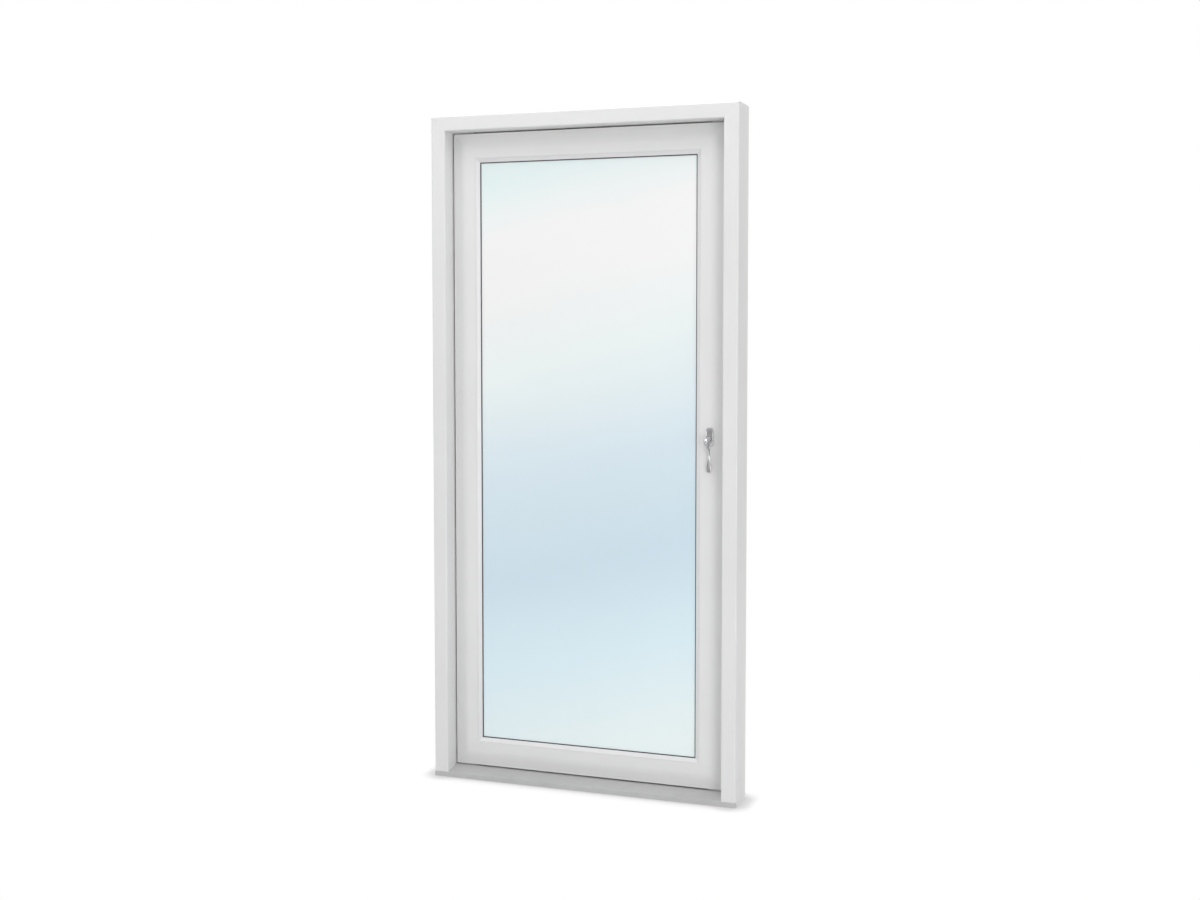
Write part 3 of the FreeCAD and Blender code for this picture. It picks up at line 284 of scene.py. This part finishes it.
def satin_chrome(name, color, roughness):
    """Satin chrome with the finest of polishing marks, a little handling haze and a painted highlight along
    its edges.
    """
    material, tree, shader = new_material(name, color, roughness, 1.0)
    everywhere = object_coordinates(tree)
    marks = noise(tree, object_coordinates(tree, (1800, 1800, 220)), 1, 3)
    haze = noise(tree, everywhere, 90, 4)
    tone = mix(tree, spread(tree, haze, 0.35, 0.7, 0, 1), color, tinted(color, 0.90))
    # painted highlight: the edges are made lighter in colour
    tone = mix(tree, math_node(tree, "MULTIPLY", edges(tree, 0.8 * MM), 0.4), tone, tinted(color, 1.1))
    link(tree, tone, shader.inputs["Base Color"])
    link(tree, spread(tree, haze, 0.3, 0.7, roughness - 0.04, roughness + 0.08), shader.inputs["Roughness"])
    bump(tree, shader, (marks, 0.08, 0.03 * MM))
    return material


def zinc(name, color):
    """Zinc-plated steel with a mottled passivated tone."""
    material, tree, shader = new_material(name, color, 0.38, 1.0)
    everywhere = object_coordinates(tree)
    mottle = noise(tree, everywhere, 180, 4)
    patch = noise(tree, everywhere, 35, 3)
    tone = mix(tree, spread(tree, mottle, 0.35, 0.65, 0, 1), tinted(color, 0.88), tinted(color, 1.05))
    tone = mix(tree, spread(tree, patch, 0.5, 0.7, 0, 0.35), tone, PASSIVATED)
    link(tree, tone, shader.inputs["Base Color"])
    link(tree, spread(tree, mottle, 0.3, 0.7, 0.30, 0.50), shader.inputs["Roughness"])
    bump(tree, shader, (mottle, 0.12, 0.05 * MM))
    return material


def moulded(name, color, roughness, grain_scale=600, strength=0.2):
    """Rubber, sealant or moulded plastic: matt, faintly blotched, with a fine skin."""
    material, tree, shader = new_material(name, color, roughness)
    everywhere = object_coordinates(tree)
    blotch = noise(tree, everywhere, 25, 4)
    skin = noise(tree, everywhere, grain_scale, 3)
    tone = mix(tree, spread(tree, blotch, 0.3, 0.7, 0, 1), tinted(color, 0.8), tinted(color, 1.25))
    link(tree, tone, shader.inputs["Base Color"])
    link(tree, spread(tree, skin, 0.3, 0.7, roughness - 0.08, roughness + 0.06), shader.inputs["Roughness"])
    bump(tree, shader, (skin, strength, 0.1 * MM))
    return material


def bare_wood(name, color):
    """Unpainted beech with short flecks along X."""
    material, tree, shader = new_material(name, color, 0.6)
    grain = noise(tree, object_coordinates(tree, (12, 240, 240)), 1, 4)
    tone = ramp(tree, grain, [(0.3, tinted(color, 0.72)), (0.5, color), (0.72, tinted(color, 1.12))])
    link(tree, tone, shader.inputs["Base Color"])
    link(tree, spread(tree, grain, 0.3, 0.7, 0.5, 0.7), shader.inputs["Roughness"])
    bump(tree, shader, (grain, 0.3, 0.2 * MM))
    return material


def linear(red, green, blue):
    """Scene-linear colour of an 8-bit display colour, by the upper branch of the sRGB curve."""
    return tuple(((channel / 255 + 0.055) / 1.055) ** 2.4 for channel in (red, green, blue))


GLASS_IOR = 1.75
SKY_SLANT, SKY_SWAY = 0.12, 0.02
# shares of the height down the pane, and the colour of the sky's reflection painted into the glass there
PAINTED_SKY_COLOURS = [(0.00, linear(226, 250, 252)), (0.10, linear(243, 253, 255)), (0.20, linear(246, 251, 255)),
       (0.33, linear(231, 239, 246)), (0.50, linear(213, 228, 236)), (0.67, linear(200, 220, 231)),
       (0.83, linear(211, 231, 239)), (1.00, linear(229, 248, 253))]


def painted_sky_glass(name, opacity, shade=1.0):
    """Float glass with a painted reflection of a bright sky in its colour: soft slanting bands of cyan,
    white and blue-grey.
    """
    material, tree, shader = new_material(name, (0.8, 0.9, 0.93), 0.06)
    place = tree.nodes.new("ShaderNodeTexCoord")
    split = tree.nodes.new("ShaderNodeSeparateXYZ")
    link(tree, place.outputs["Object"], split.inputs["Vector"])
    depth = spread(tree, split.outputs["Z"], GLASS_HIGH.z, GLASS_LOW.z, 0, 1)
    slant = math_node(tree, "MULTIPLY", split.outputs["X"], SKY_SLANT)
    waver = noise(tree, object_coordinates(tree, (1.1, 1, 2.2)), 1, 2)
    sway = spread(tree, waver, 0.3, 0.7, -SKY_SWAY, SKY_SWAY)
    band = math_node(tree, "ADD", math_node(tree, "ADD", depth, slant), sway)
    # painted reflection: the sky's bands become the glass's base colour, brightened by the shade factor
    stops = [(stop, tuple(min(1.0, channel) for channel in tinted(color, shade))) for stop, color in PAINTED_SKY_COLOURS]
    link(tree, ramp(tree, band, stops), shader.inputs["Base Color"])
    shader.inputs["Alpha"].default_value = opacity
    shader.inputs["IOR"].default_value = GLASS_IOR
    streak = noise(tree, object_coordinates(tree, (3, 3, 0.6), (0.3, 0, 0)), 1, 4)
    link(tree, spread(tree, streak, 0.35, 0.7, 0.04, 0.11), shader.inputs["Roughness"])
    ripple = noise(tree, object_coordinates(tree), 3.5, 2)
    bump(tree, shader, (ripple, 0.02, 0.6 * MM))
    return material


ALONG_X, ALONG_Z = 0, 2
TIMBER_PAINT = (0.81, 0.81, 0.80)
UPRIGHT = painted_timber("painted_timber_upright", TIMBER_PAINT, ALONG_Z)
LEVEL = painted_timber("painted_timber_level", TIMBER_PAINT, ALONG_X)
SLOTS = {
    "sill_metal": anodised("sill_anodised", (0.545, 0.545, 0.545), 0.48, ALONG_X, 0.2, 0.15),
    "seal_rubber": moulded("seal_rubber", (0.06, 0.06, 0.065), 0.62),
    "edge_sealant": moulded("edge_sealant", (0.035, 0.035, 0.035), 0.55, 300),
    "spacer_metal": anodised("spacer_aluminium", (0.50, 0.51, 0.53), 0.36, ALONG_Z, 0.15),
    "plastic": moulded("black_plastic", (0.045, 0.047, 0.05), 0.48, 900, 0.12),
    "bare_wood": bare_wood("bare_beech", (0.56, 0.38, 0.21)),
    "handle_metal": satin_chrome("satin_chrome", (0.66, 0.66, 0.67), 0.12),
    "zinc_steel": zinc("zinc_plate", (0.60, 0.61, 0.63)),
    "white_skin": powder_coat("white_powder_coat", (0.79, 0.79, 0.79)),
    "white_bead": powder_coat("bead_powder_coat", (0.80, 0.795, 0.81), 0.32),
}
PANES = {
    "glass_outer": painted_sky_glass("sky_glass_outer", 0.94, 1.16),
    "glass_middle": painted_sky_glass("sky_glass_middle", 0.30),
    "glass_inner": painted_sky_glass("sky_glass_inner", 0.70),
}
LEVEL_TIMBER = ("head", "sill_timber", "sash_rail_top", "sash_rail_bottom")


def finish_of(name, slot):
    """Material for a CAD node."""
    if name in PANES:
        return PANES[name]
    if slot == "painted_timber":
        return LEVEL if name in LEVEL_TIMBER else UPRIGHT
    return SLOTS[slot]


SLOT_OF = {part["node"]: part["material_slot"] for part in frame["record"]["subparts"]}
for node_name, node in NODES.items():
    node.data.materials.clear()
    node.data.materials.append(finish_of(node_name, SLOT_OF[node_name]))


# ---------------------------------------------------------------- softened edges on CAD nodes
TIMBER_ROUND, SILL_ROUND = 1.6 * MM, 0.9 * MM
ROUND_SEGMENTS = 3
SHARP_ANGLE = math.radians(35)
WELD_DISTANCE = 0.02 * MM


def soften(name, width):
    """Round a node's hard edges a little with modifiers; the mesh itself stays."""
    node = NODES[name]
    join = node.modifiers.new("join", "WELD")
    join.merge_threshold = WELD_DISTANCE
    ease = node.modifiers.new("ease", "BEVEL")
    ease.width = width
    ease.segments = ROUND_SEGMENTS
    ease.limit_method = "ANGLE"
    ease.angle_limit = SHARP_ANGLE
    ease.use_clamp_overlap = True
    shade = node.modifiers.new("shade", "WEIGHTED_NORMAL")
    shade.keep_sharp = False


TIMBER = ("jamb_left", "jamb_right", "head", "sill_timber", "sash_stile_left", "sash_stile_right",
          "sash_rail_top", "sash_rail_bottom")
for node_name in TIMBER:
    soften(node_name, TIMBER_ROUND)
soften("sill_threshold", SILL_ROUND)


# ---------------------------------------------------------------- mesh helpers
SMOOTHING_LEVELS = 1


def new_piece(name, mesh, body, slot, replaced):
    """Object from a finished bmesh, riding on a body in place of CAD nodes."""
    bmesh.ops.recalc_face_normals(mesh, faces=mesh.faces)
    data = bpy.data.meshes.new(name)
    mesh.to_mesh(data)
    mesh.free()
    for face in data.polygons:
        face.use_smooth = True
    data.materials.append(SLOTS[slot])
    piece = bpy.data.objects.new(name, data)
    bpy.context.collection.objects.link(piece)
    smooth = piece.modifiers.new("smooth", "SUBSURF")
    smooth.levels = SMOOTHING_LEVELS
    smooth.render_levels = SMOOTHING_LEVELS
    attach(piece, body)
    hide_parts(*replaced)
    return piece


def skin_rings(mesh, rings, capped):
    """Quads between rings of equal length, and a cap on each end if it is capped."""
    loops = [[mesh.verts.new(point) for point in ring] for ring in rings]
    for near, far in zip(loops, loops[1:]):
        for i in range(len(near)):
            j = (i + 1) % len(near)
            mesh.faces.new((near[i], near[j], far[j], far[i]))
    if capped:
        mesh.faces.new(loops[0])
        mesh.faces.new(loops[-1])


def between(points, share):
    """Catmull-Rom value at a share (0..1) between the middle two of four tuples."""
    result = []
    for before, start, end, after in zip(*points):
        square = (2 * before - 5 * start + 4 * end - after) * share ** 2
        cube = (3 * start - before - 3 * end + after) * share ** 3
        result.append(0.5 * (2 * start + (end - before) * share + square + cube))
    return tuple(result)


def smoothed(stations, steps):
    """Stations joined by smooth curves through every one of them."""
    padded = [stations[0]] + list(stations) + [stations[-1]]
    result = []
    for i in range(len(stations) - 1):
        for step in range(steps):
            result.append(between(padded[i:i + 4], step / steps))
    return result + [tuple(stations[-1])]


# ---------------------------------------------------------------- levers
SPINDLE_LOW, SPINDLE_HIGH = (Vector(corner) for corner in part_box("spindle"))
SPINDLE_X = (SPINDLE_LOW.x + SPINDLE_HIGH.x) / 2
SPINDLE_Z = (SPINDLE_LOW.z + SPINDLE_HIGH.z) / 2
OUTER_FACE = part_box("escutcheon_outer")[1][1]
INNER_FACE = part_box("escutcheon_inner")[0][1]

# Each station in millimetres and degrees: out from the sash, drop, lean of the path, half width,
# half thickness, turn of the section about the path, hollow in its outer face.
NECK = [
    (0.45, 0, 0, 7.9, 7.9, 0, 0), (9.6, 0, 0, 7.9, 7.9, 0, 0), (10.4, 0, 0, 7.1, 7.1, 0, 0),
    (11.2, 0, 0, 7.1, 7.1, 0, 0), (12.0, 0, 0, 7.55, 7.55, 0, 0), (23.0, 0, 0, 7.5, 7.5, 0, 0),
]
CROOK = [
    (27, 0, 0, 7.3, 7.0, 0, 0), (35, 0, 0, 6.7, 5.9, 0, 0), (41.5, 0.2, 8, 6.4, 5.0, 0, 0),
    (45.0, 1.3, 34, 6.4, 4.9, 0, 0), (47.1, 3.8, 70, 6.4, 4.8, 0, 0), (47.4, 7.2, 108, 6.3, 4.8, 0, 0),
]
WAIST = [
    (44.8, 11.2, 142, 6.1, 4.7, 0, 0), (38.8, 15.5, 146, 5.8, 4.5, 4, 0),
    (32.3, 19.8, 146, 5.4, 4.3, 10, 0), (26.4, 23.9, 144, 5.1, 4.1, 20, 0),
    (20.6, 28.8, 136, 4.9, 3.9, 36, 0), (16.3, 34.6, 120, 4.8, 3.6, 56, 0),
    (13.9, 42.0, 104, 4.9, 3.3, 80, 0.1), (12.7, 51.0, 95, 5.0, 3.0, 106, 0.2),
]
PADDLE = [
    (12.2, 61.0, 92, 5.4, 2.9, 134, 0.5), (12.0, 71.0, 90, 6.0, 2.9, 158, 0.9),
    (12.0, 80.0, 90, 6.7, 2.9, 174, 1.7), (12.0, 89.0, 90, 7.2, 2.9, 180, 2.0),
    (12.0, 95.0, 90, 7.2, 2.8, 180, 1.9), (12.0, 99.0, 90, 6.5, 2.5, 180, 0.9),
    (12.0, 101.0, 90, 4.6, 1.8, 180, 0.2), (12.0, 101.45, 90, 1.6, 0.6, 180, 0),
]
STEPS_BETWEEN = 3
RING = 28
# exponents of the section: a plain circle, and the fuller oval of the flattened arm
CIRCLE, FULL_OVAL = 2.0, 2.35
# below this sine a point is on the section's edge and takes no hollow
EDGE_SINE = 0.05
# the spindle's square bore in the neck: half its side, and how far out it ends
BORE_HALF, BORE_END = 4.03, 25.0


def oval(face, way, station):
    """Closed ring of points round the lever's path at one station."""
    out, drop, lean, half_width, half_thick, turn, hollow = station
    lean, turn = math.radians(lean), math.radians(turn)
    along = Vector((0, way * math.cos(lean), -math.sin(lean)))
    across = Vector((1, 0, 0))
    outward = across.cross(along) * (-way)
    middle = Vector((SPINDLE_X, face + way * out * MM, SPINDLE_Z - drop * MM))
    roundness = CIRCLE if half_width == half_thick else FULL_OVAL
    points = []
    for i in range(RING):
        angle = 2 * math.pi * i / RING
        cosine, sine = math.cos(angle), math.sin(angle)
        wide = math.copysign(abs(cosine) ** (2 / roundness), cosine) * half_width
        thick = math.copysign(abs(sine) ** (2 / roundness), sine) * half_thick
        flat = 1 - (wide / half_width) ** 2
        if abs(sine) > EDGE_SINE:
            thick -= math.copysign(hollow, sine) * flat ** 2
        x = wide * math.cos(turn) - thick * math.sin(turn)
        y = wide * math.sin(turn) + thick * math.cos(turn)
        points.append(middle + (across * x + outward * y) * MM)
    return points


def bore_ring(face, way, out):
    """Square ring with as many points as the lever's rings, for the spindle's bore."""
    points = []
    for i in range(RING):
        angle = 2 * math.pi * i / RING
        cosine, sine = math.cos(angle), math.sin(angle)
        reach = BORE_HALF / max(abs(cosine), abs(sine))
        across = Vector((1, 0, 0)) * cosine * reach
        upward = Vector((1, 0, 0)).cross(Vector((0, way, 0))) * (-way) * sine * reach
        middle = Vector((SPINDLE_X, face + way * out * MM, SPINDLE_Z))
        points.append(middle + (across + upward) * MM)
    return points


def lever(name, node, face, way):
    """Cranked lever: collared neck, bulged crook, twisted waist and hollowed paddle."""
    mesh = bmesh.new()
    stations = NECK + smoothed(CROOK + WAIST + PADDLE, STEPS_BETWEEN)
    rings = [bore_ring(face, way, BORE_END), bore_ring(face, way, NECK[0][0])]
    rings += [oval(face, way, station) for station in stations]
    skin_rings(mesh, rings, True)
    return new_piece(name, mesh, "handle", "handle_metal", [node])


lever("outer_lever", "lever_outer", OUTER_FACE, -1)
lever("inner_lever", "lever_inner", INNER_FACE, 1)


# ---------------------------------------------------------------- escutcheons
PLATE_LOW, PLATE_HIGH = (Vector(corner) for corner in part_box("escutcheon_outer"))
PLATE_HALF = (PLATE_HIGH.x - PLATE_LOW.x) / 2 / MM
PLATE_STRAIGHT = (PLATE_HIGH.z - PLATE_LOW.z) / 2 / MM - PLATE_HALF
PLATE_Z = (PLATE_HIGH.z + PLATE_LOW.z) / 2
NECK_DROP = (PLATE_Z - SPINDLE_Z) / MM
ARC_STEPS, SIDE_STEPS = 26, 6
MERGE_DISTANCE = 0.001 * MM
# millimetres: inset from the plate's outline, and height above the sash
RIM = [
    (0, 0.05), (0, 1.0), (0, 6.4), (0.12, 7.3), (0.45, 8.0), (0.9, 8.35), (1.3, 8.45), (1.6, 8.3),
    (1.8, 7.95),
]
# millimetres: radius about the spindle, and height, from the flat to the hole
COLLAR = [
    (8.92, 7.9), (8.84, 7.92), (8.76, 8.2), (8.66, 8.4), (8.56, 8.4), (8.42, 8.1), (8.35, 6.5),
    (8.35, 0.05),
]


def plate_outline(inset):
    """Stadium outline in millimetres about the plate's middle, inset evenly."""
    radius = PLATE_HALF - inset
    points = []
    for i in range(ARC_STEPS):
        angle = math.pi * i / (ARC_STEPS - 1)
        points.append((radius * math.cos(angle), PLATE_STRAIGHT + radius * math.sin(angle)))
    for i in range(1, SIDE_STEPS):
        points.append((-radius, PLATE_STRAIGHT * (1 - 2 * i / SIDE_STEPS)))
    for i in range(ARC_STEPS):
        angle = math.pi + math.pi * i / (ARC_STEPS - 1)
        points.append((radius * math.cos(angle), -PLATE_STRAIGHT + radius * math.sin(angle)))
    for i in range(1, SIDE_STEPS):
        points.append((radius, -PLATE_STRAIGHT * (1 - 2 * i / SIDE_STEPS)))
    return points


def hole_outline(radius):
    """Circle round the spindle with one point in the direction of each outline point."""
    points = []
    for x, z in plate_outline(0):
        angle = math.atan2(z + NECK_DROP, x)
        points.append((radius * math.cos(angle), radius * math.sin(angle) - NECK_DROP))
    return points


def escutcheon(name, node, face, way):
    """Oval plate with a rolled rim, a shallow flat and a raised collar round the neck."""
    mesh = bmesh.new()
    rings = []
    for inset, height in RIM:
        rings.append([(x, z, height) for x, z in plate_outline(inset)])
    for radius, height in COLLAR:
        rings.append([(x, z, height) for x, z in hole_outline(radius)])
    rings.append(rings[0])
    middle = Vector((SPINDLE_X, face, PLATE_Z))
    placed = [[middle + Vector((x, way * height, z)) * MM for x, z, height in ring] for ring in rings]
    skin_rings(mesh, placed, False)
    bmesh.ops.remove_doubles(mesh, verts=mesh.verts, dist=MERGE_DISTANCE)
    return new_piece(name, mesh, "sash", "handle_metal", [node])


escutcheon("outer_escutcheon", "escutcheon_outer", OUTER_FACE, -1)
escutcheon("inner_escutcheon", "escutcheon_inner", INNER_FACE, 1)


# ---------------------------------------------------------------- stage, lights and camera
ROOM_LIGHT = 0.56
# shares of the way from straight down to straight up, and how bright the room mirrors there
MIRRORED_ROOM = [(0.40, 0.16), (0.50, 0.34), (0.60, 0.50), (0.70, 1.0), (1.0, 1.0)]
FLOOR_HALF = 60
FLOOR_GREY = (0.80, 0.80, 0.80)
CONTACT_REACH = 0.05
CONTACT_SAMPLES = 16
# openness of the floor near the object, and how bright it looks there
CONTACT_SHADE = [(0.50, 0.62), (0.81, 0.76), (0.92, 0.88), (1.0, 1.0)]
# name, place, aim, side of the square, watts
LIGHTS = [
    ("overhead", (0.2, -0.9, 4.6), (0.2, -0.2, 0), 3.0, 74),
    ("key", (-4.0, -4.0, 2.9), (-0.2, 0, 1.7), 1.8, 34),
    ("fill", (4.2, -4.6, 0.9), (0, 0, 0.9), 2.6, 98),
    ("rear", (4.2, 2.8, 2.6), (0.3, 0, 1.5), 2.0, 27),
]
# the eye from the frame's front lower left corner, and where it looks, in radians
EYE_OFFSET = (2.089, -4.2745, 1.4325)
EYE_YAW, EYE_PITCH = 0.3433, 0.0576
LENS, LENS_SHIFT = 44.946, -0.03
SENSOR = 36
FARTHEST_SEEN = 200


def shader_switch(tree, test, when_no, when_yes):
    """One of two shaders, by a test on the ray."""
    either = tree.nodes.new("ShaderNodeMixShader")
    link(tree, test, either.inputs["Fac"])
    link(tree, when_no, either.inputs[1])
    link(tree, when_yes, either.inputs[2])
    return either.outputs["Shader"]


def plain_background(tree, strength):
    """Even white background."""
    node = tree.nodes.new("ShaderNodeBackground")
    node.inputs["Color"].default_value = (1, 1, 1, 1)
    node.inputs["Strength"].default_value = strength
    return node.outputs["Background"]


def mirrored_background(tree):
    """What gloss picks up of the room: dark floor, grey walls, bright ceiling."""
    way = tree.nodes.new("ShaderNodeTexCoord")
    split = tree.nodes.new("ShaderNodeSeparateXYZ")
    link(tree, way.outputs["Generated"], split.inputs["Vector"])
    node = tree.nodes.new("ShaderNodeBackground")
    height = spread(tree, split.outputs["Z"], -1, 1, 0, 1)
    link(tree, ramp(tree, height, MIRRORED_ROOM), node.inputs["Color"])
    return node.outputs["Background"]


def surround():
    """White surround that lights the object evenly."""
    world = bpy.data.worlds.new("studio")
    bpy.context.scene.world = world
    world.use_nodes = True
    tree = world.node_tree
    tree.nodes.remove(tree.nodes["Background"])
    path = tree.nodes.new("ShaderNodeLightPath")
    unseen = shader_switch(tree, path.outputs["Is Glossy Ray"],
                           plain_background(tree, ROOM_LIGHT), mirrored_background(tree))
    result = shader_switch(tree, path.outputs["Is Camera Ray"], unseen, plain_background(tree, 1.0))
    link(tree, result, tree.nodes["World Output"].inputs["Surface"])


def pale_floor():
    """Pale floor that looks plain white, but for soft shade where the object stands on it."""
    mesh = bpy.data.meshes.new("floor")
    half = FLOOR_HALF
    corners = [(-half, -half, 0), (half, -half, 0), (half, half, 0), (-half, half, 0)]
    mesh.from_pydata(corners, [], [(0, 1, 2, 3)])
    floor = bpy.data.objects.new("floor", mesh)
    bpy.context.collection.objects.link(floor)
    material, tree, shader = new_material("pale_floor", FLOOR_GREY, 0.9)
    shader.inputs["Specular IOR Level"].default_value = 0.0
    shade = tree.nodes.new("ShaderNodeAmbientOcclusion")
    shade.samples = CONTACT_SAMPLES
    shade.inputs["Distance"].default_value = CONTACT_REACH
    seen = tree.nodes.new("ShaderNodeEmission")
    seen.inputs["Strength"].default_value = 1.0
    link(tree, ramp(tree, shade.outputs["AO"], CONTACT_SHADE), seen.inputs["Color"])
    path = tree.nodes.new("ShaderNodeLightPath")
    result = shader_switch(tree, path.outputs["Is Camera Ray"], shader.outputs["BSDF"],
                           seen.outputs["Emission"])
    link(tree, result, tree.nodes["Material Output"].inputs["Surface"])
    mesh.materials.append(material)


def area_light(name, place, target, size, power):
    """Square soft light aimed at a point."""
    data = bpy.data.lights.new(name, "AREA")
    data.size = size
    data.energy = power
    lamp = bpy.data.objects.new(name, data)
    bpy.context.collection.objects.link(lamp)
    lamp.location = place
    lamp.rotation_euler = (Vector(target) - Vector(place)).to_track_quat("-Z", "Y").to_euler()


def camera():
    """Camera at the photograph's viewing angle, placed from the frame's front lower left corner."""
    corner = Vector((FRAME_LOW.x, FRAME_LOW.y, 0))
    data = bpy.data.cameras.new("camera")
    data.sensor_width = SENSOR
    data.lens = LENS
    data.shift_y = LENS_SHIFT
    data.clip_end = FARTHEST_SEEN
    eye = bpy.data.objects.new("camera", data)
    bpy.context.collection.objects.link(eye)
    eye.location = corner + Vector(EYE_OFFSET)
    eye.rotation_euler = (math.pi / 2 - EYE_PITCH, 0, EYE_YAW)
    bpy.context.scene.camera = eye


surround()
pale_floor()
for light in LIGHTS:
    area_light(*light)
camera()
bpy.context.scene.view_settings.view_transform = "Standard"
